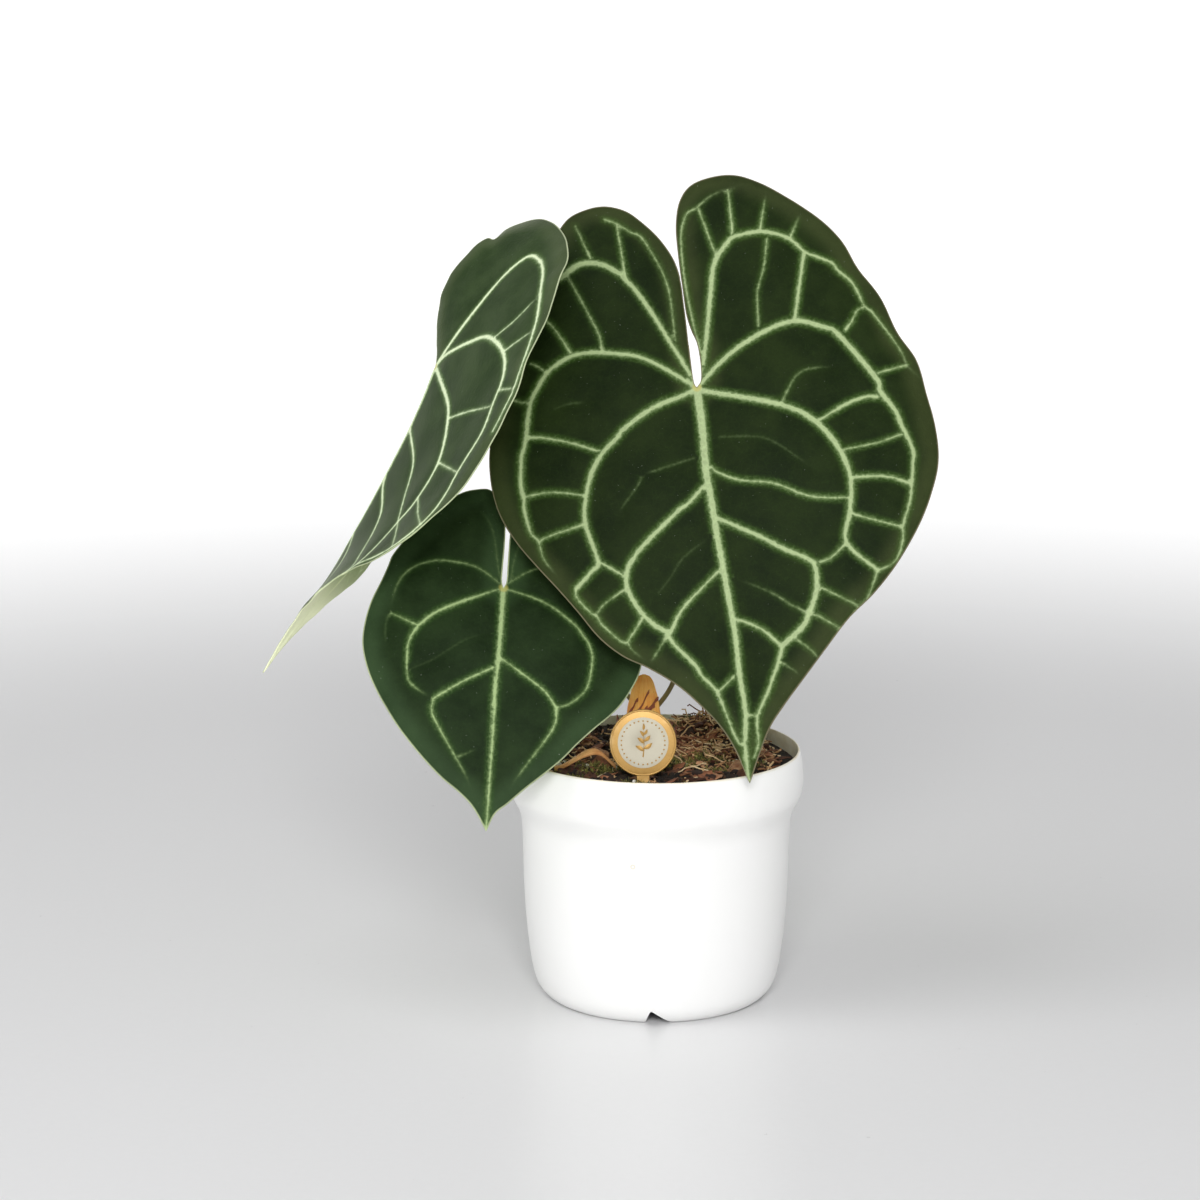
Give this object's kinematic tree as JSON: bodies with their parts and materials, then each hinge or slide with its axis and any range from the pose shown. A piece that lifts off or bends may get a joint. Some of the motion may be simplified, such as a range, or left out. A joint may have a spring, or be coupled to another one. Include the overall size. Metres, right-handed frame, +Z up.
{
  "type": "potted anthurium clarinervium",
  "caption": "Potted foliage plant: heart-shaped dark velvet leaves with pale raised veins on slim stalks, rising from a mix-filled round white pot with a plain round pick.",
  "frame": {"origin": "centre of the pot's foot, on the ground", "axes": "+Z up along the pot's axis, -Y towards the front, where the large leaf faces"},
  "size_m": [0.2693, 0.1524, 0.3307],
  "materials": {
    "pot": "smooth white moulded plastic",
    "potting_mix": "loose bark and fibre mix",
    "rootstock": "rough brown stem",
    "petiole": "smooth olive brown stalk",
    "leaf": "dark velvety leaf with pale veins",
    "dry_sheath": "dry papery orange sheath",
    "old_sheath": "dry fibrous red-brown sheath",
    "pick": "satin gold printed plastic"
  },
  "bodies": {
    "root": {"pot": "pot", "potting_mix": "potting_mix", "rootstock": "rootstock", "petiole_front": "petiole", "petiole_low": "petiole", "petiole_side": "petiole", "leaf_front": "leaf", "leaf_low": "leaf", "leaf_side": "leaf", "sheath_tall": "dry_sheath", "sheath_wrap": "old_sheath", "dry_bract": "dry_sheath", "plant_pick": "pick"}
  },
  "joints": []
}
